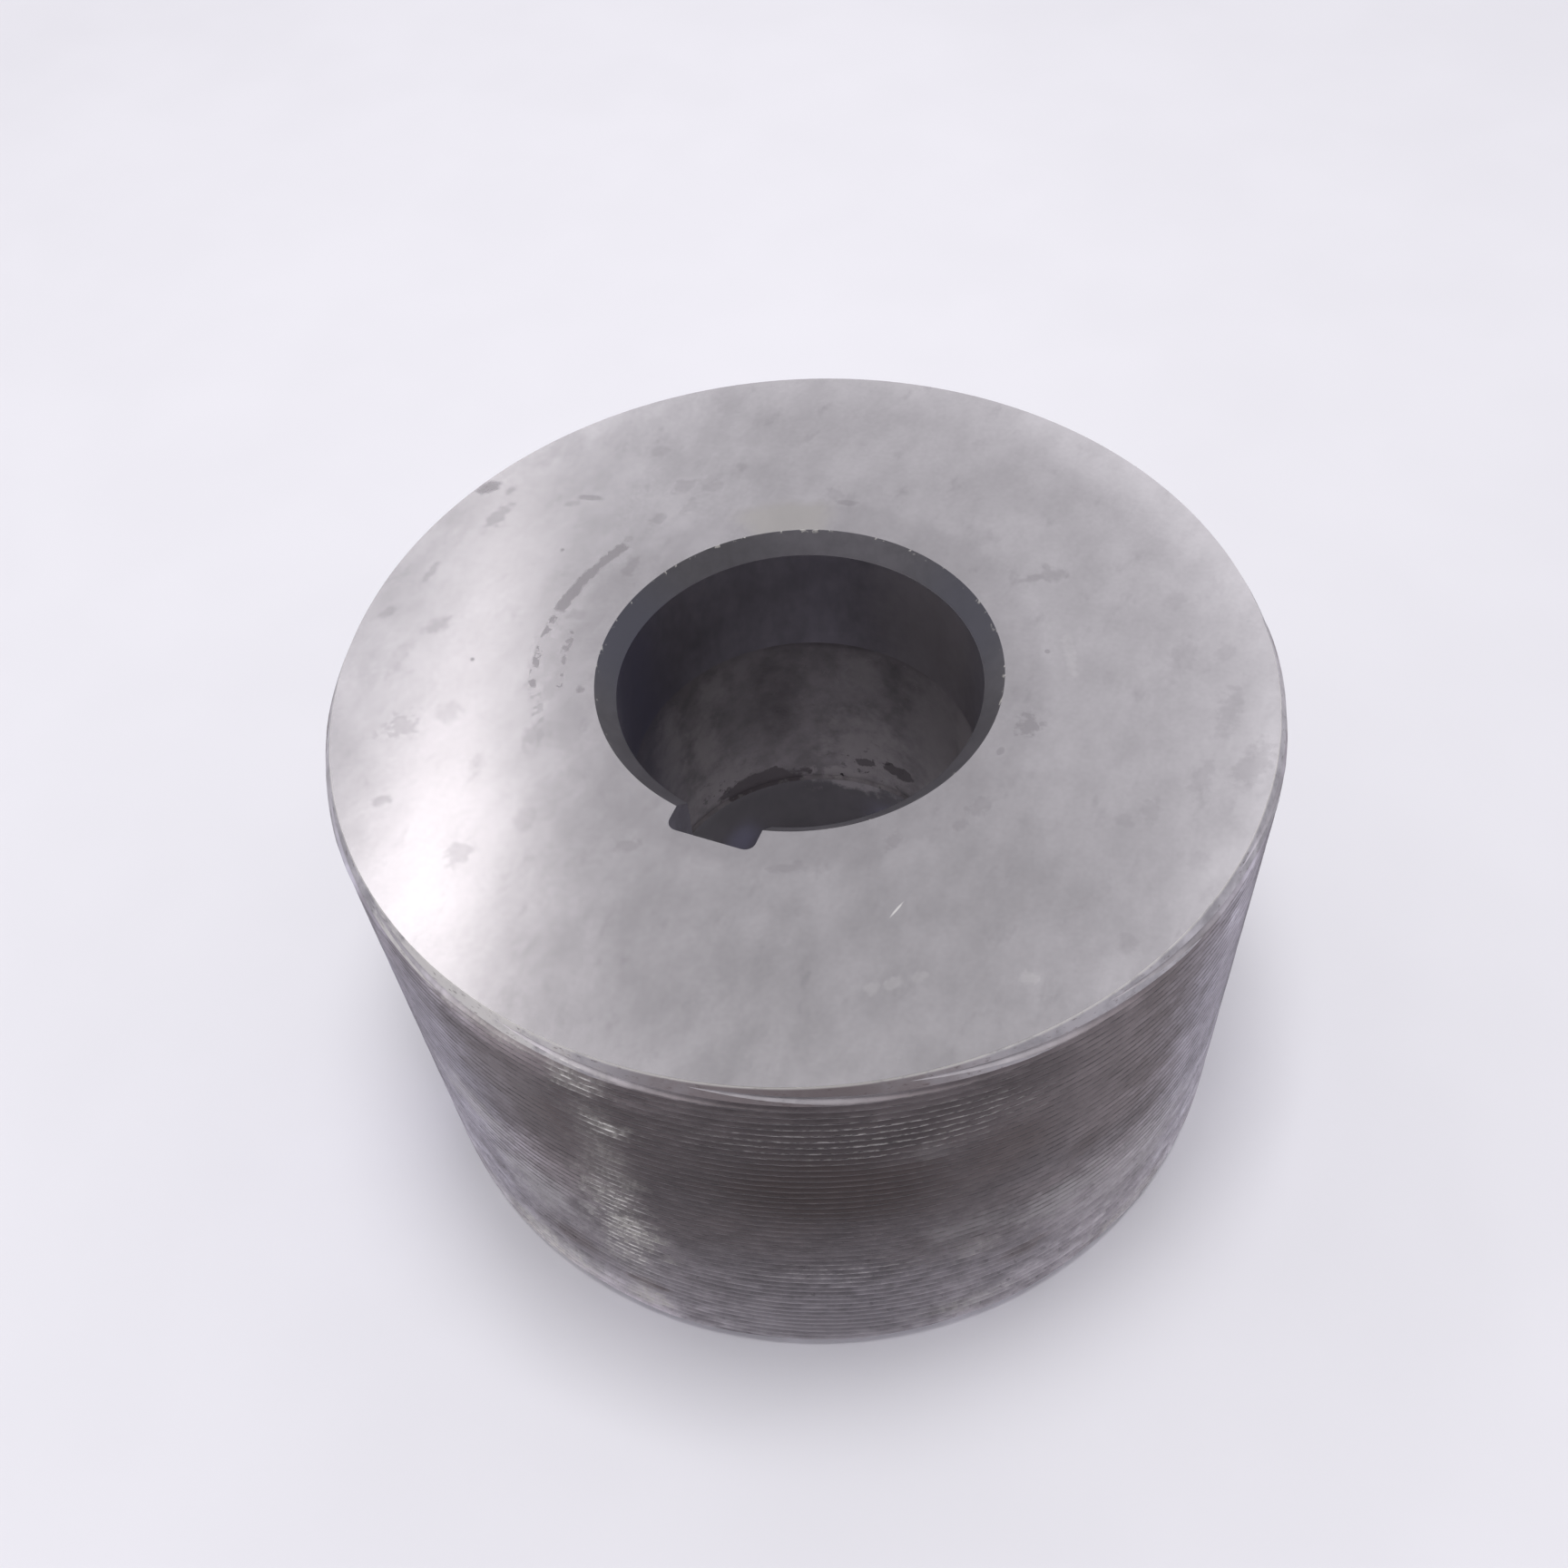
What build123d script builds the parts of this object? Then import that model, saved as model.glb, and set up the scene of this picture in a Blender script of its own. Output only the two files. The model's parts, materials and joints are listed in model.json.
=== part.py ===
from build123d import *
import os
from math import radians, tan

# Thread rolling die: one hardened steel ring, ground on both faces and on the bore
# The origin is the centre of the lower face, +Z runs up the bore axis, and the keyway lies towards -Y
# All lengths are millimetres

# Sizes of the ring
outside_diameter = 139.0  # over the crests of the fine thread on the rim
width = 81.0  # from face to face
bore_diameter = 54.0

# Bevels where the faces meet the rim and the bore
rim_bevel_length = 2.4  # along the axis
rim_bevel_angle = 30.0  # degrees, from the axis
mouth_chamfer = 2.8  # at 45 degrees

# Relieved band halfway down the bore, which leaves a ground land at each end
relief_length = 36.0
relief_depth = 0.5  # also the length of its 45 degree shoulders

# Keyway through the bore wall
keyway_width = 12.7
keyway_depth = 6.0  # from the bore wall to the floor, on the keyway's centre line
keyway_corner_radius = 1.5

# Places that follow from the sizes
rim_radius = outside_diameter / 2
bore_radius = bore_diameter / 2
rim_bevel_depth = rim_bevel_length * tan(radians(rim_bevel_angle))
mid_height = width / 2
relief_bottom = mid_height - relief_length / 2
relief_top = mid_height + relief_length / 2
keyway_floor = bore_radius + keyway_depth


def ring_section():
    """Half section of the ring, as points of radius and height."""
    bore_side = [
        (bore_radius + mouth_chamfer, 0),
        (bore_radius, mouth_chamfer),
        (bore_radius, relief_bottom),
        (bore_radius + relief_depth, relief_bottom + relief_depth),
        (bore_radius + relief_depth, relief_top - relief_depth),
        (bore_radius, relief_top),
        (bore_radius, width - mouth_chamfer),
        (bore_radius + mouth_chamfer, width),
    ]
    rim_side = [
        (rim_radius - rim_bevel_depth, width),
        (rim_radius, width - rim_bevel_length),
        (rim_radius, rim_bevel_length),
        (rim_radius - rim_bevel_depth, 0),
    ]
    return bore_side + rim_side


def turned_ring():
    """The ring as it leaves the lathe and the grinder, before the keyway."""
    with BuildPart() as ring:
        with BuildSketch(Plane.XZ):
            with BuildLine():
                Polyline(*ring_section(), close=True)
            make_face()
        revolve(axis=Axis.Z)
    return ring.part


def keyway_cutter():
    """Bar that cuts the keyway, from the bore axis out to the rounded floor corners."""
    with BuildPart() as cutter:
        with BuildSketch():
            with Locations((0, -keyway_floor / 2)):
                slot = Rectangle(keyway_width, keyway_floor)
            fillet(slot.vertices().group_by(Axis.Y)[0], radius=keyway_corner_radius)
        extrude(amount=width)
    return cutter.part


def rolling_die():
    """The finished die: the turned ring with its keyway."""
    die = turned_ring() - keyway_cutter()
    return die.solids()[0]


os.makedirs("parts", exist_ok=True)
export_step(rolling_die(), "parts/rolling_die.step")
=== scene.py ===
import json
import math

import bmesh
import bpy
from bpy.props import BoolProperty, FloatProperty, FloatVectorProperty, IntProperty, PointerProperty
from mathutils import Matrix, Vector, noise


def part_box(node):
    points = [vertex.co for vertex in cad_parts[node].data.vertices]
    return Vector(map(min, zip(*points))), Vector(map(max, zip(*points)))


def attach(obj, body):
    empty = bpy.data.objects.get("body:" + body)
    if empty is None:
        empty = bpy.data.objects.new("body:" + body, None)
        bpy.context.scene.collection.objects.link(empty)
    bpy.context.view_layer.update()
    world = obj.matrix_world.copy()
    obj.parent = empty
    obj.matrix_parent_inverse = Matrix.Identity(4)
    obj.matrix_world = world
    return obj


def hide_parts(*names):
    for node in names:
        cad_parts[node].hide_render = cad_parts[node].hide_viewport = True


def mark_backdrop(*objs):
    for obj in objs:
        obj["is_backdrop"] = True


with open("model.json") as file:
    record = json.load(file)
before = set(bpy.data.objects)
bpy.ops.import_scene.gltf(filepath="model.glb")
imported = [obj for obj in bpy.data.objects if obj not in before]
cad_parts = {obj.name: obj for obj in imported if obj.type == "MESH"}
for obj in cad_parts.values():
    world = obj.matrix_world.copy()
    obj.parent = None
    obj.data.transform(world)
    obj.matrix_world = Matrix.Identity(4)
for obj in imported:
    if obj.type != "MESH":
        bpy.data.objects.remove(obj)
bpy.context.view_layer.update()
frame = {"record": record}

bl_info = {
    "name": "Thread Rolling Die",
    "version": (1, 0, 0),
    "blender": (4, 5, 0),
    "location": "3D View > Sidebar > Rolling Die",
    "description": "Models the threaded ring of a rolling die with its finishes, and a table to show it on",
    "category": "Object",
}

# Lengths are metres, as in the frame; the shader patterns work in millimetres
MM = 0.001
FULL_TURN = 2 * math.pi
NODE = "rolling_die"

# Sizes that the frame gives
high_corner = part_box(NODE)[1]
mounts = {mount["name"]: mount for mount in frame["record"]["mounts"]}
rim_radius = high_corner.x
width = high_corner.z
bore_radius = mounts["bore"]["dims"]["r_mm"] * MM
keyway_floor = -mounts["keyway"]["pos_m"][1]

# Finishes of the ring, in the order of its material slots
FINISHES = ("ground_face", "rim_bevel", "thread", "mouth_chamfer", "bore_land", "bore_relief", "keyway")


def length(name, description, default):
    """A length setting, in metres."""
    return FloatProperty(
        name=name, description=description, default=default, min=0.0, unit="LENGTH", precision=5
    )


def angle(name, description, degrees):
    """An angle setting, given in degrees."""
    return FloatProperty(name=name, description=description, default=math.radians(degrees), subtype="ANGLE")


def colour(name, description, default):
    """A colour setting."""
    return FloatVectorProperty(
        name=name, description=description, default=default, min=0.0, max=1.0, subtype="COLOR"
    )


def share(name, description, default):
    """A setting from nought to one."""
    return FloatProperty(
        name=name, description=description, default=default, min=0.0, max=1.0, subtype="FACTOR"
    )


def power(name, description, default):
    """The power of a lamp, in watts."""
    return FloatProperty(name=name, description=description, default=default, min=0.0, unit="POWER")


class RingSettings(bpy.types.PropertyGroup):
    """Turned and ground sizes of the ring, beside those that the frame gives."""

    bevel_length: length(
        "Rim bevel length", "Length of the bevel at each end of the rim, along the axis", 2.4 * MM
    )
    bevel_angle: angle("Rim bevel angle", "Angle of the rim bevel from the axis", 30.0)
    mouth_chamfer: length("Mouth chamfer", "Chamfer of 45 degrees at each end of the bore", 2.8 * MM)
    relief_length: length("Relief length", "Length of the relieved band halfway down the bore", 36.0 * MM)
    relief_depth: length("Relief depth", "Depth of the relieved band", 0.5 * MM)
    keyway_width: length("Keyway width", "Width of the keyway", 12.7 * MM)
    keyway_corner: length("Keyway corner", "Radius of the keyway's two floor corners", 1.5 * MM)
    edge_break: length(
        "Edge break", "Width of the tiny bevel that stoning leaves round the faces", 0.035 * MM
    )


class ThreadSettings(bpy.types.PropertyGroup):
    """The fine thread on the rim, of many starts."""

    pitch: length("Pitch", "Distance from one ridge to the next, along the axis", 1.5875 * MM)
    starts: IntProperty(
        name="Starts", description="Number of ridges that start at the end of the rim", default=16, min=1
    )
    left_handed: BoolProperty(
        name="Left-handed", description="Ridges fall as they run anticlockwise", default=True
    )
    depth: length("Depth", "Depth of the grooves below the crests", 0.95 * MM)
    crest: length("Crest flat", "Width of the flat on top of each ridge", 0.22 * MM)
    root: length("Root flat", "Width of the flat at the foot of each groove", 0.26 * MM)
    columns: IntProperty(
        name="Columns", description="Facets of the rim from one start to the next", default=24, min=4
    )
    wear: length("Crest wear", "Most that use has taken off the crests", 0.07 * MM)


class FinishSettings(bpy.types.PropertyGroup):
    """Colours of the steel and of what lies on it."""

    ground_steel: colour("Ground steel", "Colour of the ground faces", (0.50, 0.482, 0.497))
    # Also the colour of painted highlights: the line along the bevels' top, the lamp's reflection down the
    # thread
    rubbed_and_highlight_steel: colour("Bare steel", "Colour where a ridge or an edge is rubbed bright", (0.62, 0.60, 0.57))
    # Painted highlight: the colour of the glints painted on the crests
    glint_colour: colour(
        "Bright steel", "Colour of the thin bright lines on the crests", (0.80, 0.78, 0.76)
    )
    bevel_steel: colour("Bevel steel", "Colour of the rim bevels", (0.365, 0.350, 0.370))
    chamfer_steel: colour("Chamfer steel", "Colour of the bore's chamfers", (0.064, 0.060, 0.068))
    thread_steel: colour(
        "Thread steel", "Colour of the thread, where it is most stained", (0.187, 0.164, 0.172)
    )
    thread_low: colour(
        "Lower thread steel", "Colour of the thread towards the lower face", (0.335, 0.313, 0.340)
    )
    hazy_steel: colour(
        "Hazy steel", "Colour of the rim where it has a smooth haze of dried oil", (0.585, 0.570, 0.672)
    )
    bore_steel: colour("Bore steel", "Colour of the ground lands of the bore", (0.220, 0.205, 0.237))
    rough_bore: colour(
        "Rough bore", "Colour of the relieved band of the bore, which was never ground", (0.224, 0.204, 0.216)
    )
    keyway_steel: colour("Keyway steel", "Colour of the broached keyway", (0.335, 0.318, 0.372))
    # Also used as painted shade: low in the bore and on the dimmed crests
    oil_and_shade: colour("Old oil", "Colour of the dried oil in the grooves", (0.06, 0.055, 0.058))
    brown_stain: colour("Brown stain", "Colour of the thin rust on the steel", (0.130, 0.104, 0.103))
    grey_stain: colour("Grey stain", "Colour of the stains on the ground faces", (0.24, 0.225, 0.24))
    blued_steel: colour(
        "Blued steel", "Colour of the steel where it is faintly blued", (0.040, 0.040, 0.056)
    )
    navy_steel: colour("Navy steel", "Colour of the bore where it is blued", (0.165, 0.158, 0.225))
    # Also the colour of the painted shadow under the bore's step
    burnt_oil_and_shadow: colour("Burnt oil", "Colour of the dark stains in the bore", (0.095, 0.080, 0.090))
    # Also paints light in the bore: the lit table's reflection and the lit ledge
    scale_and_painted_light: colour("Pale scale", "Colour of the pale scale in the bore", (0.44, 0.405, 0.42))
    cream_haze: colour(
        "Cream haze", "Colour of the ring that a washer wore round the bore", (0.50, 0.48, 0.455)
    )
    fresh_scratch: colour("Fresh scratch", "Colour of the pale marks on the upper face", (0.95, 0.93, 0.91))
    lamp_tint: colour(
        "Lamp tint", "Colour of the lamps that draw the bright band on the face", (1.0, 0.965, 0.96)
    )


class StudioSettings(bpy.types.PropertyGroup):
    """Table, lamps and camera. Headings are turned anticlockwise from +X, and heights are above the table."""

    table: colour("Table", "Colour of the table top", (0.795, 0.785, 0.83))
    backdrop: colour("Backdrop", "Colour that the camera sees behind the table", (0.90, 0.89, 0.94))
    lens: FloatProperty(
        name="Lens", description="Focal length on a sensor 36 mm wide", default=37.11, min=1.0
    )
    camera_distance: length("Camera distance", "Distance of the camera from the bore axis", 0.1616)
    camera_height: length("Camera height", "Height of the camera", 0.2525)
    camera_side: angle("Camera side", "Heading from the bore axis to the camera", -65.19)
    camera_aim: angle("Camera aim", "Heading that the camera looks along", 116.11)
    camera_dip: angle("Camera dip", "How far the camera looks down", 50.73)
    camera_roll: angle(
        "Camera roll", "How far the camera is turned clockwise about its line of sight", 5.49
    )
    overhead_power: power("Overhead lamp", "Power of the broad lamp overhead", 11.5)
    strip_power: power("Strip lamp", "Power of the long lamp that draws the bright band on the face", 0.168)
    end_power: power("End lamp", "Power of the short lamp that brightens the near end of the band", 0.30)
    sky_low: FloatProperty(
        name="Sky at the horizon", description="Brightness of the room near the horizon", default=1.3
    )
    sky_rim: share("Sky rim", "Part of that brightness that is left right above the horizon", 0.62)
    sky_middle: FloatProperty(
        name="Sky halfway up", description="Brightness of the room halfway up", default=0.76
    )
    sky_high: FloatProperty(
        name="Sky overhead", description="Brightness of the room overhead", default=0.54
    )
    sky_sides: FloatProperty(
        name="Sky to the sides", description="How fast the room brightens to the sides", default=6.0
    )
    soft_share: share("Soft share", "Part of the room's brightness that lights the table", 0.66)
    shade_level: share("Shade level", "Brightness left where the viewer shades the room", 0.20)


# Mesh pieces


def new_piece(name, bm):
    """Makes an object of a bmesh and frees the bmesh."""
    mesh = bpy.data.meshes.new(name)
    bm.to_mesh(mesh)
    bm.free()
    piece = bpy.data.objects.new(name, mesh)
    bpy.context.scene.collection.objects.link(piece)
    return piece


def turn_line(bm, start, end, steps, finish):
    """Spins the line between two points of radius and height into a band of the turned ring."""
    ends = [bm.verts.new((radius, 0, height)) for radius, height in (start, end)]
    line = bm.edges.new(ends)
    before = set(bm.faces)
    bmesh.ops.spin(
        bm, geom=ends + [line], cent=(0, 0, 0), axis=(0, 0, 1), angle=FULL_TURN, steps=steps, use_merge=True
    )
    for face in set(bm.faces) - before:
        face.material_index = FINISHES.index(finish)


def blank_section(ring, spare):
    """Half section of the ring, as (radius, height, finish of the line that starts there). The rim stands
    proud by spare, so that only its bevels cut the thread."""
    slope = math.tan(ring.bevel_angle)
    relief_low = (width - ring.relief_length) / 2
    relief_high = (width + ring.relief_length) / 2
    relief_radius = bore_radius + ring.relief_depth
    mouth_radius = bore_radius + ring.mouth_chamfer
    rim_low = ring.bevel_length + spare / slope
    face_radius = rim_radius - ring.bevel_length * slope
    return [
        (mouth_radius, 0, "mouth_chamfer"),
        (bore_radius, ring.mouth_chamfer, "bore_land"),
        (bore_radius, relief_low, "bore_relief"),
        (relief_radius, relief_low + ring.relief_depth, "bore_relief"),
        (relief_radius, relief_high - ring.relief_depth, "bore_relief"),
        (bore_radius, relief_high, "bore_land"),
        (bore_radius, width - ring.mouth_chamfer, "mouth_chamfer"),
        (mouth_radius, width, "ground_face"),
        (face_radius, width, "rim_bevel"),
        (rim_radius + spare, width - rim_low, "thread"),
        (rim_radius + spare, rim_low, "rim_bevel"),
        (face_radius, 0, "ground_face"),
    ]


def break_edges(bm, radius, offset, finish):
    """Breaks the sharp edges that run round the axis at a radius, and gives the break a finish."""
    least_corner = math.radians(5)
    near = 0.1 * MM
    corners = [
        edge for edge in bm.edges
        if edge.calc_face_angle() > least_corner
        and all(abs(vert.co.xy.length - radius) < near for vert in edge.verts)
    ]
    bmesh.ops.bevel(
        bm, geom=corners, offset=offset, segments=1, profile=0.5, affect="EDGES",
        material=FINISHES.index(finish)
    )


def make_blank(ring, steps):
    """The turned ring without its thread and keyway, with the edges of its faces just broken."""
    spare = 1.0 * MM
    section = blank_section(ring, spare)
    mouth_radius = bore_radius + ring.mouth_chamfer
    face_radius = max(radius for radius, height, finish in section if height == width)
    bm = bmesh.new()
    for (radius, height, finish), (next_radius, next_height, _) in zip(section, section[1:] + section[:1]):
        turn_line(bm, (radius, height), (next_radius, next_height), steps, finish)
    bmesh.ops.remove_doubles(bm, verts=bm.verts, dist=0.001 * MM)
    bmesh.ops.recalc_face_normals(bm, faces=bm.faces)
    break_edges(bm, mouth_radius, ring.edge_break, "mouth_chamfer")
    break_edges(bm, face_radius, ring.edge_break, "rim_bevel")
    # Half a facet's turn keeps the ring's facets off those of the thread
    bmesh.ops.rotate(bm, verts=bm.verts, cent=(0, 0, 0), matrix=Matrix.Rotation(math.pi / steps, 3, "Z"))
    return new_piece("ring_blank", bm)


def make_keyway_bar(ring):
    """The bar that cuts the keyway, from the bore axis out to its floor."""
    spare = 5.0 * MM
    bm = bmesh.new()
    bmesh.ops.create_cube(bm, size=1.0)
    bmesh.ops.scale(bm, verts=bm.verts, vec=(ring.keyway_width, keyway_floor, width + 2 * spare))
    bmesh.ops.translate(bm, verts=bm.verts, vec=(0, -keyway_floor / 2, width / 2))
    floor_corners = [
        edge for edge in bm.edges
        if all(vert.co.y < -keyway_floor / 2 for vert in edge.verts)
        and abs(edge.verts[0].co.z - edge.verts[1].co.z) > width
    ]
    bmesh.ops.bevel(
        bm, geom=floor_corners, offset=ring.keyway_corner, segments=6, profile=0.5, affect="EDGES",
        material=-1
    )
    for face in bm.faces:
        face.material_index = FINISHES.index("keyway")
    return new_piece("keyway_bar", bm)


def wear_down(bm, thread):
    """Lowers the crests here and there, as use does."""
    patch_scale = 1 / (9 * MM)
    nick_scale = 1 / (2.2 * MM)
    for vert in bm.verts:
        radius = vert.co.xy.length
        if radius > rim_radius - thread.depth / 2:
            patch = noise.noise(vert.co * patch_scale)
            nick = noise.noise(vert.co * nick_scale)
            worn = thread.wear * min(1.0, max(0.0, 0.35 + 0.9 * patch + 0.8 * nick))
            vert.co.xy *= (radius - worn) / radius


def make_screw_rod(thread):
    """A full rod with the rim's thread on it, a little longer than the ring. One start's share of the rim
    is spun as a screw, and the shares are then set side by side round the axis."""
    flank = (thread.pitch - thread.crest - thread.root) / 2
    foot = rim_radius - thread.depth
    ridge = [
        (foot, 0),
        (foot, thread.root),
        (rim_radius, thread.root + flank),
        (rim_radius, thread.root + flank + thread.crest),
        (foot, thread.pitch),
    ]
    overhang = 0.6 * MM
    spare_ridges = 3
    ridges = math.ceil(width / thread.pitch) + 2 * spare_ridges
    share_angle = FULL_TURN / thread.starts
    fall = -1 if thread.left_handed else 1
    weld = 0.002 * MM

    bm = bmesh.new()
    points = [bm.verts.new((radius, 0, height)) for radius, height in ridge]
    lines = [bm.edges.new(pair) for pair in zip(points, points[1:])]
    bmesh.ops.spin(
        bm, geom=points + lines, cent=(0, 0, 0), axis=(0, 0, 1), dvec=(0, 0, thread.pitch), angle=0,
        steps=ridges, use_duplicate=True
    )
    bmesh.ops.remove_doubles(bm, verts=bm.verts, dist=weld)
    bmesh.ops.translate(bm, verts=bm.verts, vec=(0, 0, -spare_ridges * thread.pitch))
    bmesh.ops.spin(
        bm, geom=bm.verts[:] + bm.edges[:], cent=(0, 0, 0), axis=(0, 0, 1), angle=share_angle,
        dvec=(0, 0, fall * thread.pitch / thread.columns), steps=thread.columns
    )
    bmesh.ops.spin(
        bm, geom=bm.verts[:] + bm.edges[:] + bm.faces[:], cent=(0, 0, 0), axis=(0, 0, 1),
        angle=share_angle * (thread.starts - 1), steps=thread.starts - 1, use_duplicate=True
    )
    bmesh.ops.remove_doubles(bm, verts=bm.verts, dist=weld)
    wear_down(bm, thread)
    for height, outward in ((-overhang, -1), (width + overhang, 1)):
        bmesh.ops.bisect_plane(
            bm, geom=bm.verts[:] + bm.edges[:] + bm.faces[:], dist=0.0001 * MM, plane_co=(0, 0, height),
            plane_no=(0, 0, outward), clear_outer=True
        )
    bmesh.ops.holes_fill(bm, edges=[edge for edge in bm.edges if edge.is_boundary], sides=0)
    bmesh.ops.recalc_face_normals(bm, faces=bm.faces)
    for face in bm.faces:
        face.material_index = FINISHES.index("thread")
    return new_piece("screw_rod", bm)


def combine(piece, other, operation):
    """Adds a boolean of the piece with another."""
    cut = piece.modifiers.new(other.name, "BOOLEAN")
    cut.operation = operation
    cut.solver = "EXACT"
    cut.material_mode = "INDEX"
    cut.object = other


def make_threaded_ring(ring, thread):
    """The whole die as one closed mesh: the blank, less the keyway, held to the thread."""
    blank = make_blank(ring, thread.starts * thread.columns)
    bar = make_keyway_bar(ring)
    rod = make_screw_rod(thread)
    for finish in FINISHES:
        blank.data.materials.append(None)
    combine(blank, bar, "DIFFERENCE")
    combine(blank, rod, "INTERSECT")
    seen = blank.evaluated_get(bpy.context.evaluated_depsgraph_get())
    mesh = bpy.data.meshes.new_from_object(seen)
    mesh.name = "threaded_ring"
    for part in (blank, bar, rod):
        bpy.data.objects.remove(part)
    die = bpy.data.objects.new("threaded_ring", mesh)
    bpy.context.scene.collection.objects.link(die)
    mesh.shade_smooth()
    mesh.set_sharp_from_angle(angle=math.radians(8))
    return die


# Shader helpers


def place(tree, kind, wires=None, **settings):
    """Adds a node. wires gives a socket or a plain value for each input, by name or by number."""
    made = tree.nodes.new(kind)
    for key, value in settings.items():
        setattr(made, key, value)
    for key, value in (wires or {}).items():
        if isinstance(value, bpy.types.NodeSocket):
            tree.links.new(value, made.inputs[key])
        else:
            made.inputs[key].default_value = value
    return made


def calculate(tree, operation, first, second=0.0):
    """The result of a Math node."""
    return place(tree, "ShaderNodeMath", {0: first, 1: second}, operation=operation).outputs[0]


def combine_vectors(tree, operation, first, second):
    """The vector that a Vector Math node makes of two others."""
    return place(tree, "ShaderNodeVectorMath", {0: first, 1: second}, operation=operation).outputs[0]


def dot(tree, first, second):
    """The dot product of two vectors."""
    made = place(tree, "ShaderNodeVectorMath", {0: first, 1: second}, operation="DOT_PRODUCT")
    return made.outputs["Value"]


def distance(tree, first, second):
    """The length of the flat vector with these two parts."""
    flat = place(tree, "ShaderNodeCombineXYZ", {"X": first, "Y": second}).outputs[0]
    return place(tree, "ShaderNodeVectorMath", {0: flat}, operation="LENGTH").outputs["Value"]


def spread(tree, value, low, high, to_low=0.0, to_high=1.0):
    """Maps a value smoothly from one range to another."""
    wires = {"Value": value, "From Min": low, "From Max": high, "To Min": to_low, "To Max": to_high}
    return place(tree, "ShaderNodeMapRange", wires, interpolation_type="SMOOTHSTEP").outputs["Result"]


def blend_colour(tree, factor, first, second, kind="MIX"):
    """Mixes two colours, given as sockets or as (r, g, b)."""
    wires = {0: factor}
    for number, value in ((6, first), (7, second)):
        wires[number] = value if isinstance(value, bpy.types.NodeSocket) else (*value, 1.0)
    mixed = place(tree, "ShaderNodeMix", wires, data_type="RGBA", blend_type=kind)
    return mixed.outputs[2]


def grain(tree, vector, scale, detail=3.0, stretch=(1.0, 1.0, 1.0), offset=(0.0, 0.0, 0.0)):
    """Noise from nought to one. scale is in cycles to the millimetre, and a small stretch draws the noise
    out on that axis."""
    moved = place(tree, "ShaderNodeMapping", {"Vector": vector, "Location": offset, "Scale": stretch})
    wires = {"Vector": moved.outputs[0], "Scale": scale, "Detail": detail, "Roughness": 0.6}
    return place(tree, "ShaderNodeTexNoise", wires).outputs["Fac"]


def new_group(name, inputs, outputs):
    """A node group with these sockets, as {name: default}. A default of three numbers makes a vector."""
    group = bpy.data.node_groups.new(name, "ShaderNodeTree")
    for title, default in inputs.items():
        kind = "NodeSocketVector" if hasattr(default, "__len__") else "NodeSocketFloat"
        socket = group.interface.new_socket(title, in_out="INPUT", socket_type=kind)
        socket.default_value = default
    for title in outputs:
        group.interface.new_socket(title, in_out="OUTPUT", socket_type="NodeSocketFloat")
    entry = group.nodes.new("NodeGroupInput")
    leave = group.nodes.new("NodeGroupOutput")
    return group, entry.outputs, leave.inputs


def use_group(tree, group, wires):
    """Places a group in a tree and returns its outputs."""
    return place(tree, "ShaderNodeGroup", wires, node_tree=group).outputs


def group_of(name, build):
    """The node group of that name, built at its first use."""
    return bpy.data.node_groups.get(name) or build(name)


def polar_group(name):
    """Radius and height in millimetres, and heading in degrees anticlockwise from +X."""
    group, given, result = new_group(name, {"Position": (0.0, 0.0, 0.0)}, ("Radius", "Heading", "Height"))
    split = place(group, "ShaderNodeSeparateXYZ", {0: given["Position"]}).outputs
    radius = distance(group, split["X"], split["Y"])
    heading = calculate(group, "ARCTAN2", split["Y"], split["X"])
    group.links.new(radius, result["Radius"])
    group.links.new(calculate(group, "DEGREES", heading), result["Heading"])
    group.links.new(split["Z"], result["Height"])
    return group


def spot_group(name):
    """A ragged oval spot. Along and Across are its axes, each divided by its size that way."""
    sizes = {
        "Position": (0.0, 0.0, 0.0), "Place": (0.0, 0.0, 0.0), "Along": (1.0, 0.0, 0.0),
        "Across": (0.0, 1.0, 0.0), "Grain": 0.5, "Ragged": 0.5,
    }
    group, given, result = new_group(name, sizes, ("Mask",))
    away = combine_vectors(group, "SUBTRACT", given["Position"], given["Place"])
    reach = distance(group, dot(group, away, given["Along"]), dot(group, away, given["Across"]))
    rough = calculate(group, "MULTIPLY", calculate(group, "SUBTRACT", given["Grain"], 0.5), given["Ragged"])
    group.links.new(spread(group, calculate(group, "ADD", reach, rough), 0.64, 0.27), result["Mask"])
    return group


def arc_group(name):
    """A broken arc about the bore axis, from one heading to another."""
    sizes = {
        "Radius": 0.0, "Heading": 0.0, "Grain": 0.5, "Place": 39.0, "Width": 1.0, "From": 0.0, "To": 90.0,
        "Gaps": 0.0,
    }
    group, given, result = new_group(name, sizes, ("Mask",))
    wander = calculate(group, "MULTIPLY", calculate(group, "SUBTRACT", given["Grain"], 0.5), given["Width"])
    off = calculate(group, "SUBTRACT", calculate(group, "ADD", given["Radius"], wander), given["Place"])
    share_off = calculate(group, "DIVIDE", calculate(group, "ABSOLUTE", off), given["Width"])
    band = spread(group, share_off, 0.60, 0.36)
    after = spread(group, calculate(group, "SUBTRACT", given["Heading"], given["From"]), 0.0, 1.5)
    before = spread(group, calculate(group, "SUBTRACT", given["To"], given["Heading"]), 0.0, 1.5)
    kept = spread(group, calculate(group, "SUBTRACT", given["Grain"], given["Gaps"]), -0.02, 0.03)
    whole = calculate(group, "MULTIPLY", band, calculate(group, "MULTIPLY", after, before))
    group.links.new(calculate(group, "MULTIPLY", whole, kept), result["Mask"])
    return group


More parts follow.
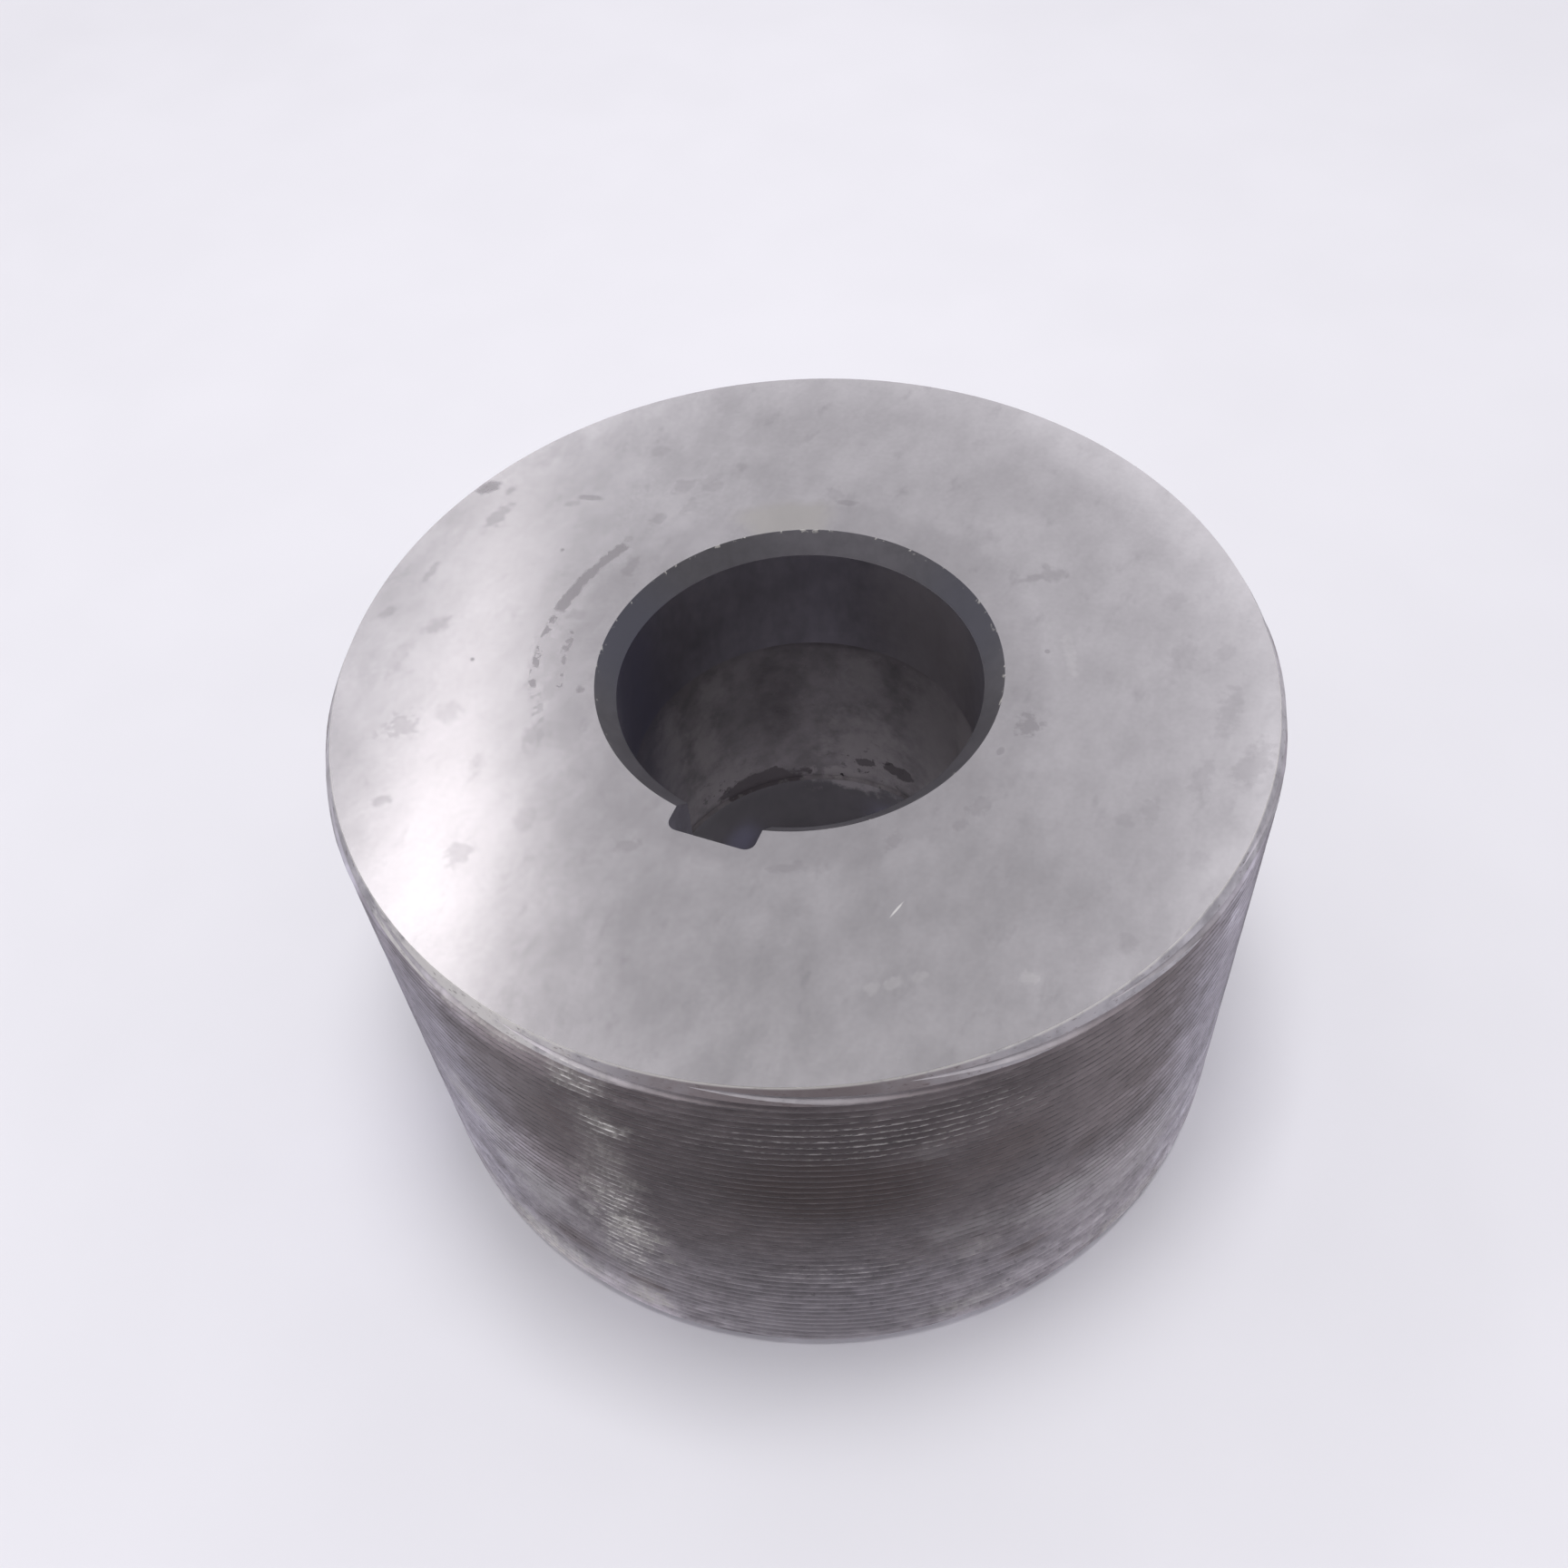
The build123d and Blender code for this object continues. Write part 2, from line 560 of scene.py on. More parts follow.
def patch_group(name):
    """A ragged patch, placed by heading and height. Soft is the half width of its edge."""
    sizes = {
        "Heading": 0.0, "Height": 0.0, "Grain": 0.5, "Middle": 0.0, "Level": 40.0, "Reach": 15.0,
        "Rise": 10.0, "Ragged": 1.5, "Soft": 0.3,
    }
    group, given, result = new_group(name, sizes, ("Mask",))
    off = calculate(group, "WRAP", calculate(group, "SUBTRACT", given["Heading"], given["Middle"]), 180.0)
    off.node.inputs[2].default_value = -180.0
    along = calculate(group, "DIVIDE", off, given["Reach"])
    above = calculate(group, "SUBTRACT", given["Height"], given["Level"])
    reach = distance(group, along, calculate(group, "DIVIDE", above, given["Rise"]))
    rough = calculate(group, "MULTIPLY", calculate(group, "SUBTRACT", given["Grain"], 0.5), given["Ragged"])
    body = calculate(group, "ADD", spread(group, reach, 1.0, 0.0), rough)
    least = calculate(group, "SUBTRACT", 0.5, given["Soft"])
    most = calculate(group, "ADD", 0.5, given["Soft"])
    mask = spread(group, body, least, most)
    group.links.new(calculate(group, "MULTIPLY", mask, spread(group, reach, 1.4, 0.8)), result["Mask"])
    return group


class Finish:
    """One steel material: its tree, position in millimetres, polar coordinates, and the layers laid on it."""

    def __init__(self, name, steel, roughness, metallic=1.0, specular=0.5):
        self.material = bpy.data.materials.new(name)
        self.material.use_nodes = True
        self.tree = self.material.node_tree
        self.tree.nodes.clear()
        coordinates = place(self.tree, "ShaderNodeTexCoord").outputs["Object"]
        self.position = combine_vectors(self.tree, "MULTIPLY", coordinates, (1 / MM, 1 / MM, 1 / MM))
        polar = use_group(self.tree, group_of("Polar Position", polar_group), {"Position": self.position})
        self.radius, self.heading, self.height = polar["Radius"], polar["Heading"], polar["Height"]
        self.colour = blend_colour(self.tree, 0.0, steel, steel)
        self.roughness = roughness
        self.metallic = metallic
        self.specular = specular
        self.relief = 0.0
        self.glow = None

    def grain(self, scale, **settings):
        """Noise at this surface."""
        return grain(self.tree, self.position, scale, **settings)

    def spread(self, value, low, high, to_low=0.0, to_high=1.0):
        """Maps a value smoothly from one range to another."""
        return spread(self.tree, value, low, high, to_low, to_high)

    def times(self, first, second):
        """The product of two masks."""
        return calculate(self.tree, "MULTIPLY", first, second)

    def tint(self, mask, shade):
        """Lays a colour on where the mask is."""
        self.colour = blend_colour(self.tree, mask, self.colour, shade)

    def vary(self, value, swing):
        """Makes the colour paler and darker with the value, by a share of up to swing."""
        self.lighten(self.spread(value, 0.25, 0.75, -1.0, 1.0), swing)

    def lighten(self, mask, amount):
        """Makes the colour paler by a share, where the mask is."""
        level = calculate(self.tree, "ADD", self.times(mask, amount), 1.0)
        grey = place(self.tree, "ShaderNodeCombineColor", {number: level for number in range(3)})
        self.colour = blend_colour(self.tree, 1.0, self.colour, grey.outputs[0], "MULTIPLY")

    def roughen(self, mask, amount):
        """Adds to the roughness where the mask is."""
        self.roughness = calculate(self.tree, "ADD", self.roughness, self.times(mask, amount))

    def lift(self, value, height):
        """Raises the surface by height, in millimetres, times the value."""
        self.relief = calculate(self.tree, "ADD", self.relief, self.times(value, height))

    def done(self, bump=1.0):
        """Joins the layers to the shader and returns the material."""
        least_roughness = 0.05
        roughness = calculate(self.tree, "MAXIMUM", self.roughness, least_roughness)
        wires = {"Base Color": self.colour, "Roughness": roughness}
        if self.glow:
            wires.update({"Emission Color": self.glow, "Emission Strength": 1.0})
        shader = place(self.tree, "ShaderNodeBsdfPrincipled", wires)
        shader.inputs["Metallic"].default_value = self.metallic
        shader.inputs["Specular IOR Level"].default_value = self.specular
        if isinstance(self.relief, bpy.types.NodeSocket):
            height = {"Height": self.relief, "Strength": bump, "Distance": MM}
            bumped = place(self.tree, "ShaderNodeBump", height)
            self.tree.links.new(bumped.outputs[0], shader.inputs["Normal"])
        output = place(self.tree, "ShaderNodeOutputMaterial")
        self.tree.links.new(shader.outputs[0], output.inputs["Surface"])
        return self.material


# Stains on the upper face: radius and heading of the place, heading of the length, length, width,
# raggedness and strength
DARK_SPOTS = (
    (39.6, 46.8, 36, 4.4, 1.6, 0.8, 0.38),
    (42.5, 45.7, 24, 3.8, 2.8, 1.4, 0.34),
    (42.2, 48.2, -55, 2.8, 1.4, 0.8, 0.30),
    (34.3, 0.3, 8, 3.4, 3.6, 2.0, 0.50),
    (36.2, 1.6, 19, 0.9, 1.0, 0.5, 0.40),
    (36.2, 24.0, 19, 0.8, 0.9, 0.4, 0.50),
    (32.7, 350.1, 85, 1.6, 1.0, 0.5, 0.50),
    (55.0, 20.0, 87, 9.5, 3.4, 1.2, 0.13),
    (56.6, 32.4, 74, 4.0, 2.8, 1.2, 0.12),
    (61.4, 21.7, 67, 3.6, 2.6, 1.2, 0.15),
    (61.1, 10.6, 89, 10.5, 3.2, 1.4, 0.19),
    (65.0, 2.7, 77, 10.0, 3.6, 1.4, 0.21),
    (59.2, 358.7, -90, 6.6, 3.0, 1.2, 0.24),
    (52.5, 347.0, 45, 2.4, 2.4, 0.9, 0.24),
    (54.9, 350.5, 80, 4.2, 3.0, 1.3, 0.19),
    (63.5, 346.2, 67, 3.2, 2.6, 1.2, 0.14),
    (44.7, 16.4, 75, 3.2, 1.8, 1.2, 0.13),
    (34.3, 313.1, 74, 3.2, 1.9, 1.2, 0.45),
    (36.6, 327.8, 49, 2.4, 2.1, 0.9, 0.40),
    (36.1, 334.0, 70, 5.0, 2.5, 1.5, 0.32),
    (57.5, 328.2, 84, 3.6, 2.4, 1.2, 0.18),
    (56.3, 335.3, 82, 4.4, 2.4, 1.2, 0.12),
    (64.0, 331.6, 75, 3.2, 2.6, 0.9, 0.25),
    (63.0, 326.6, 71, 4.0, 3.4, 1.2, 0.15),
    (62.3, 303.0, -89, 6.5, 2.8, 1.5, 0.14),
    (42.6, 292.4, 36, 3.0, 1.6, 1.2, 0.14),
    (35.9, 289.2, 19, 5.2, 1.5, 0.8, 0.50),
    (35.5, 291.4, -60, 2.4, 1.5, 0.8, 0.40),
    (38.7, 255.3, 25, 3.4, 2.3, 1.3, 0.48),
    (43.5, 251.2, 75, 3.2, 3.2, 1.4, 0.16),
    (45.4, 236.7, 88, 4.4, 3.0, 1.2, 0.14),
    (55.4, 236.3, 80, 4.2, 3.4, 1.4, 0.16),
    (61.9, 222.4, 46, 2.8, 2.0, 1.0, 0.28),
    (58.1, 209.7, 53, 5.4, 4.2, 2.2, 0.24),
    (50.9, 208.3, 60, 4.0, 3.8, 1.2, 0.13),
    (59.6, 194.9, 88, 4.0, 2.4, 1.2, 0.15),
    (56.2, 189.3, 58, 5.6, 2.8, 1.4, 0.26),
    (64.7, 188.1, 73, 3.2, 1.9, 0.9, 0.34),
    (62.2, 179.2, 90, 6.0, 1.3, 1.2, 0.28),
    (60.2, 165.1, 82, 7.0, 2.4, 1.2, 0.24),
    (66.7, 161.2, 45, 4.2, 2.6, 0.7, 0.60),
    (63.2, 159.7, 76, 3.0, 1.5, 0.9, 0.24),
    (51.9, 151.9, 11, 4.4, 1.4, 0.8, 0.48),
    (52.9, 155.1, 30, 3.0, 1.3, 0.8, 0.20),
    (31.9, 205.9, 19, 1.3, 1.4, 0.7, 0.70),
    (39.2, 217.7, -80, 5.4, 2.8, 1.4, 0.25),
    (37.1, 216.6, -48, 4.2, 1.9, 1.2, 0.20),
    (36.0, 180.6, 30, 3.0, 2.2, 1.2, 0.30),
    (37.0, 197.0, 107, 15.0, 5.5, 1.6, 0.15),
    (45.2, 135.9, 65, 5.0, 2.9, 1.2, 0.28),
    (43.1, 130.3, 46, 3.6, 2.8, 1.2, 0.20),
    (40.3, 137.2, 85, 4.6, 2.1, 1.2, 0.20),
    (40.4, 145.4, 81, 3.4, 2.4, 1.1, 0.33),
    (34.7, 160.0, -82, 4.2, 2.3, 1.2, 0.40),
    (39.7, 154.0, 62, 2.2, 1.4, 0.8, 0.30),
    (46.6, 123.0, 83, 2.2, 1.9, 0.8, 0.24),
    (38.6, 102.7, -18, 3.6, 2.5, 1.2, 0.20),
    (36.6, 99.2, 10, 3.4, 1.3, 0.8, 0.40),
    (55.3, 136.0, 76, 3.4, 2.8, 1.2, 0.18),
    (48.7, 196.4, 19, 0.7, 0.8, 0.3, 0.55),
    (46.2, 165.1, 18, 0.7, 0.8, 0.3, 0.55),
)
PALE_SPOTS = (
    (55.3, 301.0, 53, 2.0, 1.8, 1.4, 0.13),
    (55.4, 303.6, 59, 2.4, 1.6, 1.4, 0.13),
    (55.3, 307.3, 57, 2.4, 1.8, 1.4, 0.11),
    (60.8, 319.4, 42, 2.4, 1.8, 1.4, 0.16),
    (39.4, 22.1, -65, 9.0, 1.6, 1.4, 0.08),
    (44.8, 307.9, 74, 2.8, 0.32, 0.2, 0.90),
)
# Broken arcs that a spacer left on the upper face: radius, width, first and last heading, gaps, strength
FACE_ARCS = (
    (38.9, 1.8, 155.0, 181.5, 0.05, 0.72),
    (39.1, 1.2, 181.5, 205.0, 0.50, 0.70),
    (35.2, 1.3, 184.0, 206.0, 0.52, 0.65),
    (38.4, 1.8, 205.0, 222.0, 0.52, 0.35),
)


# Patches on the upper face and on the bevels: heading, height, reach in degrees, rise, raggedness,
# softness of the edge and strength
WORN_FACE_PATCHES = (
    (115.0, 81.0, 22.0, 20.0, 1.0, 0.3, 1.0),
)
# Painted sheen: a paler strip that widens the lamp's bright band on the face
PAINTED_SHEEN_PATCHES = (
    (138.0, 81.0, 27.0, 200.0, 0.6, 0.5, 1.0),
)
# Painted light: where the faces are made paler towards their outer edge
FAR_RIM_LIGHT_PATCHES = (
    (85.0, 81.0, 125.0, 200.0, 0.3, 0.5, 1.0),
    (-18.0, 81.0, 16.0, 200.0, 0.6, 0.5, 0.8),
)
NEAR_RIM_LIGHT_PATCHES = (
    (-8.0, 81.0, 42.0, 200.0, 0.6, 0.5, 1.0),
)
BRIGHT_BEVEL_PATCHES = (
    (-108.0, 79.0, 26.0, 9.0, 1.8, 0.4, 0.8),
    # This lower patch is painted light along the foot of the bevel
    (-115.0, 1.0, 30.0, 9.0, 1.2, 0.4, 0.6),
)
BROWN_BEVEL_PATCHES = (
    (-68.0, 80.0, 34.0, 9.0, 1.6, 0.5, 0.8),
)


def spots(made, table, breaks):
    """The strongest of a table's spots at each point of the upper face."""
    group = group_of("Ragged Spot", spot_group)
    most = 0.0
    for radius, heading, turn, long, wide, ragged, strength in table:
        at = math.radians(heading)
        along = math.radians(turn)
        wires = {
            "Position": made.position,
            "Place": (radius * math.cos(at), radius * math.sin(at), width / MM),
            "Along": (math.cos(along) / long, math.sin(along) / long, 0.0),
            "Across": (-math.sin(along) / wide, math.cos(along) / wide, 0.0),
            "Grain": breaks,
            "Ragged": ragged,
        }
        mask = use_group(made.tree, group, wires)["Mask"]
        most = calculate(made.tree, "MAXIMUM", most, made.times(mask, strength))
    return most


def arcs(made, table, breaks):
    """The strongest of a table's arcs at each point."""
    group = group_of("Broken Arc", arc_group)
    behind = calculate(made.tree, "LESS_THAN", made.heading, 0.0)
    around = calculate(made.tree, "ADD", made.heading, made.times(behind, 360.0))
    most = 0.0
    for radius, wide, first, last, gaps, strength in table:
        wires = {
            "Radius": made.radius, "Heading": around, "Grain": breaks, "Place": radius, "Width": wide,
            "From": first, "To": last, "Gaps": gaps,
        }
        mask = use_group(made.tree, group, wires)["Mask"]
        most = calculate(made.tree, "MAXIMUM", most, made.times(mask, strength))
    return most


def patches(made, table, breaks):
    """The strongest of a table's patches at each point."""
    group = group_of("Ragged Patch", patch_group)
    most = 0.0
    for middle, level, reach, rise, ragged, soft, strength in table:
        wires = {
            "Heading": made.heading, "Height": made.height, "Grain": breaks, "Middle": middle,
            "Level": level, "Reach": reach, "Rise": rise, "Ragged": ragged, "Soft": soft,
        }
        mask = use_group(made.tree, group, wires)["Mask"]
        most = calculate(made.tree, "MAXIMUM", most, made.times(mask, strength))
    return most


def ground_face_finish(scene):
    """Both ground faces: satin steel, faintly mottled, with painted light: a paler outer edge and a widened
    bright band. The upper one has stains and the marks of a washer and a spacer."""
    finishes = scene.die_finish
    made = Finish("Ground Face", finishes.ground_steel, 0.155)
    clouds = made.grain(0.035, detail=2.0)
    mottle = made.grain(0.16, detail=4.0, stretch=(1.0, 0.6, 1.0))
    flecks = made.grain(0.26, detail=4.0, stretch=(1.0, 0.5, 1.0), offset=(31.0, 7.0, 0.0))
    breaks = made.grain(0.75, detail=4.0)
    made.vary(clouds, 0.06)
    made.vary(mottle, 0.065)
    made.vary(made.grain(1.3, detail=2.0), 0.02)
    made.tint(made.times(made.spread(flecks, 0.56, 0.82), 0.30), finishes.grey_stain)
    on_top = made.spread(made.height, 40.0, 41.0)
    wander = made.times(calculate(made.tree, "SUBTRACT", mottle, 0.5), 4.0)
    inner = made.spread(calculate(made.tree, "ADD", made.radius, wander), 38.0, 34.5)
    made.tint(made.times(inner, made.times(on_top, 0.16)), finishes.grey_stain)
    worn = made.times(patches(made, WORN_FACE_PATCHES, mottle), inner)
    made.tint(made.times(worn, 0.7), finishes.cream_haze)
    # Painted sheen on the face, beside the lamp's bright band
    made.lighten(patches(made, PAINTED_SHEEN_PATCHES, mottle), 0.11)
    # Painted light: the faces made paler towards their outer edge
    far_rim_light = made.times(made.spread(made.radius, 57.0, 69.0), patches(made, FAR_RIM_LIGHT_PATCHES, mottle))
    made.lighten(far_rim_light, 0.22)
    near_rim_light = made.times(made.spread(made.radius, 63.5, 67.5), patches(made, NEAR_RIM_LIGHT_PATCHES, mottle))
    made.lighten(near_rim_light, 0.13)
    dark = calculate(made.tree, "MAXIMUM", spots(made, DARK_SPOTS, breaks), arcs(made, FACE_ARCS, breaks))
    dark = made.times(dark, on_top)
    made.tint(dark, finishes.grey_stain)
    made.tint(made.times(spots(made, PALE_SPOTS, breaks), on_top), finishes.fresh_scratch)
    made.roughen(dark, 0.15)
    made.roughen(mottle, 0.06)
    made.lift(made.grain(0.11, detail=1.0, stretch=(1.0, 0.6, 1.0)), 0.032)
    return made.done(0.5)


def rim_bevel_finish(scene):
    """The bevels at the ends of the rim: ground steel, dulled and specked, with a painted highlight along the
    top edge and painted light at the foot.
    """
    finishes = scene.die_finish
    made = Finish("Rim Bevel", finishes.bevel_steel, 0.36)
    breaks = made.grain(0.30, detail=5.0, stretch=(1.0, 1.0, 1.3), offset=(3.0, 8.0, 2.0))
    made.vary(made.grain(0.05, detail=3.0), 0.16)
    made.vary(breaks, 0.26)
    made.tint(patches(made, BRIGHT_BEVEL_PATCHES, breaks), finishes.rubbed_and_highlight_steel)
    made.tint(patches(made, BROWN_BEVEL_PATCHES, breaks), finishes.brown_stain)
    # Painted light: the lower bevel made paler towards the foot
    made.lighten(made.spread(made.height, 3.0, 1.0), 0.8)
    # Painted highlight: a thin broken bright line along the top of the bevel, where it meets the face
    edge = made.times(made.spread(made.height, 80.6, 80.9), made.spread(breaks, 0.24, 0.48))
    specks = made.spread(made.grain(0.9, detail=4.0, stretch=(1.0, 1.0, 3.0)), 0.58, 0.68)
    made.tint(made.times(specks, 0.55), finishes.brown_stain)
    made.tint(made.times(edge, 0.7), finishes.rubbed_and_highlight_steel)
    made.roughen(specks, 0.15)
    made.lift(made.grain(1.6, detail=3.0, stretch=(0.2, 0.2, 3.0)), 0.008)
    return made.done(0.5)


# Patches on the thread, in the same order
# Painted reflection: mostly a lamp's tall streak down the thread near heading -92, with a few paler patches
LAMP_REFLECTION_PATCHES = (
    (-92.0, 42.0, 5.5, 62.0, 1.4, 0.50, 0.34),
    (-92.5, 76.0, 6.0, 8.0, 2.2, 0.45, 0.60),
    (-103.0, 78.5, 14.0, 4.0, 2.2, 0.40, 0.60),
    (-90.5, 65.0, 4.5, 3.6, 2.6, 0.45, 0.80),
    (-90.0, 49.0, 4.0, 3.0, 2.6, 0.45, 0.50),
    (-93.5, 42.0, 6.5, 9.0, 2.6, 0.50, 0.60),
    (-91.5, 32.0, 6.5, 11.0, 2.6, 0.50, 0.90),
    (-94.0, 20.0, 5.0, 6.0, 2.6, 0.50, 0.60),
    (-92.0, 6.5, 6.0, 5.5, 1.8, 0.40, 0.95),
    (-108.0, 5.0, 16.0, 7.0, 1.8, 0.50, 0.90),
    (-50.0, 7.0, 10.0, 5.0, 2.2, 0.50, 0.45),
    (-49.0, 27.0, 6.0, 6.0, 2.6, 0.50, 0.25),
    (-22.0, 4.0, 18.0, 5.0, 2.0, 0.50, 0.40),
)
GREY_PATCHES = (
    (-106.0, 30.0, 12.0, 13.0, 2.8, 0.50, 0.80),
    (-114.0, 42.0, 12.0, 9.0, 2.8, 0.50, 0.80),
    (-110.0, 6.0, 22.0, 10.0, 2.2, 0.50, 0.50),
    (-103.0, 62.0, 12.0, 18.0, 2.0, 0.50, 0.16),
    (-37.0, 31.0, 13.0, 9.0, 2.8, 0.50, 0.70),
    (-51.0, 35.0, 9.0, 7.0, 2.8, 0.50, 0.45),
    (-24.0, 24.0, 18.0, 17.0, 2.2, 0.50, 0.50),
    (-55.0, 62.0, 4.5, 4.0, 2.4, 0.50, 0.30),
)
DARK_PATCHES = (
    (-66.0, 54.0, 22.0, 18.0, 1.6, 0.50, 0.66),
    (-98.0, 60.0, 6.0, 10.0, 2.4, 0.50, 0.40),
    (-102.0, 17.0, 9.0, 6.0, 2.6, 0.45, 0.50),
    (-91.0, 12.5, 5.0, 2.2, 2.4, 0.40, 0.60),
    (-42.0, 19.0, 5.0, 4.0, 2.4, 0.45, 0.50),
    (-46.0, 56.0, 10.0, 12.0, 2.0, 0.50, 0.40),
    (-35.0, 44.0, 6.0, 5.0, 2.6, 0.45, 0.40),
)
# The rows at heights 3 and 2 are painted light along the foot of the thread
PALER_PATCHES = (
    (-98.0, 77.0, 22.0, 8.0, 1.8, 0.50, 0.85),
    (-101.0, 42.0, 14.0, 11.0, 2.2, 0.50, 0.85),
    (-98.0, 3.0, 24.0, 9.0, 1.6, 0.50, 0.90),
    (-36.0, 62.0, 20.0, 40.0, 1.5, 0.50, 0.36),
    (-8.0, 66.0, 12.0, 30.0, 0.8, 0.50, 0.32),
    (-140.0, 34.0, 16.0, 70.0, 0.4, 0.50, 0.85),
    (-32.0, 22.0, 14.0, 24.0, 1.6, 0.50, 0.26),
    (-64.0, 2.0, 30.0, 5.0, 1.4, 0.50, 0.45),
    (-80.0, 75.0, 9.0, 9.0, 1.8, 0.50, 0.60),
)
SMOOTH_PATCHES = (
    (-68.0, 6.0, 22.0, 17.0, 0.8, 0.50, 1.00),
)
HAZY_PATCHES = (
    (-135.0, 50.0, 16.0, 90.0, 0.3, 0.5, 0.95),
    (-122.0, 46.0, 26.0, 70.0, 0.8, 0.5, 0.45),
    (4.0, 40.0, 16.0, 80.0, 0.3, 0.5, 0.52),
    (-8.0, 50.0, 24.0, 80.0, 0.8, 0.5, 0.42),
)
# Painted glints: where thin bright lines are painted along the crests
GLINTING_PATCHES = (
    (-60.0, 69.0, 32.0, 11.0, 0.8, 0.50, 0.34),
    (-92.0, 34.0, 6.5, 28.0, 0.8, 0.50, 0.85),
    (-90.5, 65.0, 4.5, 4.0, 1.0, 0.40, 1.00),
    (-92.5, 76.0, 6.0, 8.0, 1.0, 0.40, 0.70),
    (-66.0, 28.0, 16.0, 8.0, 1.0, 0.50, 0.30),
)


def groove_depth(made, ring):
    """Depth below the crests, or below the bevels where the thread runs out, in millimetres."""
    tree = made.tree
    bevel = ring.bevel_length / MM
    over = calculate(tree, "MAXIMUM", calculate(tree, "SUBTRACT", made.height, width / MM - bevel), 0.0)
    under = calculate(tree, "MAXIMUM", calculate(tree, "SUBTRACT", bevel, made.height), 0.0)
    drop = made.times(calculate(tree, "ADD", over, under), math.tan(ring.bevel_angle))
    return calculate(tree, "SUBTRACT", calculate(tree, "SUBTRACT", rim_radius / MM, drop), made.radius)


def thread_finish(scene):
    """The thread: dull with oil and thin rust, paler and hazier at the foot. Painted light lies on it: a
    lamp's reflection down one side, glints and painted shade on the crests, and lightened grooves and foot.
    """
    finishes = scene.die_finish
    ring = scene.die_ring
    made = Finish("Thread", finishes.thread_steel, 0.50)
    tree = made.tree
    depth = groove_depth(made, ring)
    crest = made.spread(depth, 0.14, 0.04)
    root = made.spread(depth, 0.40, scene.die_thread.depth / MM)
    clouds = made.grain(0.05, detail=3.0, stretch=(1.0, 1.0, 1.6))
    mottle = made.grain(0.17, detail=4.0, stretch=(1.0, 1.0, 1.5), offset=(5.0, 1.0, 9.0))
    flecks = made.grain(0.50, detail=3.0, stretch=(1.0, 1.0, 1.7))
    breaks = made.grain(0.30, detail=5.0, stretch=(1.0, 1.0, 1.3), offset=(3.0, 8.0, 2.0))
    drift = made.times(calculate(tree, "SUBTRACT", clouds, 0.5), 40.0)
    level = calculate(tree, "ADD", made.height, drift)
    low = made.spread(level, 56.0, 4.0)
    haze = patches(made, HAZY_PATCHES, mottle)
    bevel_zone = made.spread(made.height, width / MM - 3.0, width / MM - 1.6)
    calm = calculate(tree, "MAXIMUM", haze, made.spread(level, 44.0, 12.0))
    calm = calculate(tree, "MAXIMUM", calm, bevel_zone)
    clear = calculate(tree, "SUBTRACT", 1.0, calm)
    smooth = made.times(patches(made, SMOOTH_PATCHES, mottle), 0.65)
    unrest = made.times(calculate(tree, "ADD", low, 0.6), calculate(tree, "SUBTRACT", 1.0, smooth))
    made.tint(low, finishes.thread_low)
    made.tint(haze, finishes.hazy_steel)
    # Painted light: the run-out grooves under the bevel are lightened towards the bevel's colour, lifting
    # their deep shade
    made.tint(made.times(bevel_zone, 0.7), finishes.bevel_steel)
    made.lighten(made.spread(level, 72.0, 80.0), 0.22)
    made.lighten(patches(made, PALER_PATCHES, mottle), 0.60)
    made.vary(clouds, 0.14)
    made.vary(mottle, made.times(unrest, 0.15))
    made.vary(flecks, made.times(unrest, 0.09))
    made.tint(patches(made, DARK_PATCHES, mottle), finishes.brown_stain)
    made.tint(made.times(patches(made, GREY_PATCHES, breaks), 0.6), finishes.ground_steel)
    # Partly oil on the crests and partly painted shade, which dims the crests' own highlight in broken dashes
    dashes = made.grain(0.45, detail=4.0, stretch=(1.0, 1.0, 3.5), offset=(1.0, 4.0, 8.0))
    gaps = made.spread(dashes, 0.42, 0.62, 0.80, 0.45)
    made.tint(made.times(made.times(crest, clear), gaps), finishes.oil_and_shade)
    # Painted light in the grooves, which evens out their own shade, most where the thread is calm
    made.lighten(made.times(root, calculate(tree, "ADD", calm, 0.2)), 0.30)
    # Painted reflection of a lamp down the thread, broken into sparkles
    lamp_reflection = patches(made, LAMP_REFLECTION_PATCHES, breaks)
    grit = made.grain(1.0, detail=3.0, stretch=(1.0, 1.0, 0.7), offset=(2.0, 6.0, 1.0))
    sparkle = made.spread(grit, 0.44, 0.62)
    made.tint(made.times(lamp_reflection, made.spread(sparkle, 0.0, 1.0, 0.32, 0.75)), finishes.rubbed_and_highlight_steel)
    # Painted glints along the crests
    runs = made.spread(made.grain(0.9, detail=3.0, stretch=(1.0, 1.0, 4.0)), 0.42, 0.62)
    glints = calculate(tree, "MAXIMUM", patches(made, GLINTING_PATCHES, mottle), 0.03)
    made.tint(made.times(made.times(crest, runs), glints), finishes.glint_colour)
    specks = made.spread(made.grain(0.8, detail=4.0, offset=(7.0, 2.0, 4.0)), 0.60, 0.72)
    made.tint(made.times(specks, made.times(unrest, 0.22)), finishes.oil_and_shade)
    made.roughen(flecks, 0.08)
    made.roughen(calm, 0.06)
    made.roughen(made.times(lamp_reflection, crest), -0.16)
    made.lift(made.grain(1.3, detail=4.0), 0.03)
    return made.done(0.5)


# Patches on the bore's chamfers, in the same order
BLUED_MOUTH_PATCHES = (
    (45.0, 79.0, 40.0, 60.0, 0.4, 0.5, 0.7),
    (182.0, 79.0, 46.0, 60.0, 0.4, 0.5, 0.9),
)
PALE_MOUTH_PATCHES = (
    (100.0, 79.0, 36.0, 60.0, 0.4, 0.5, 1.0),
)


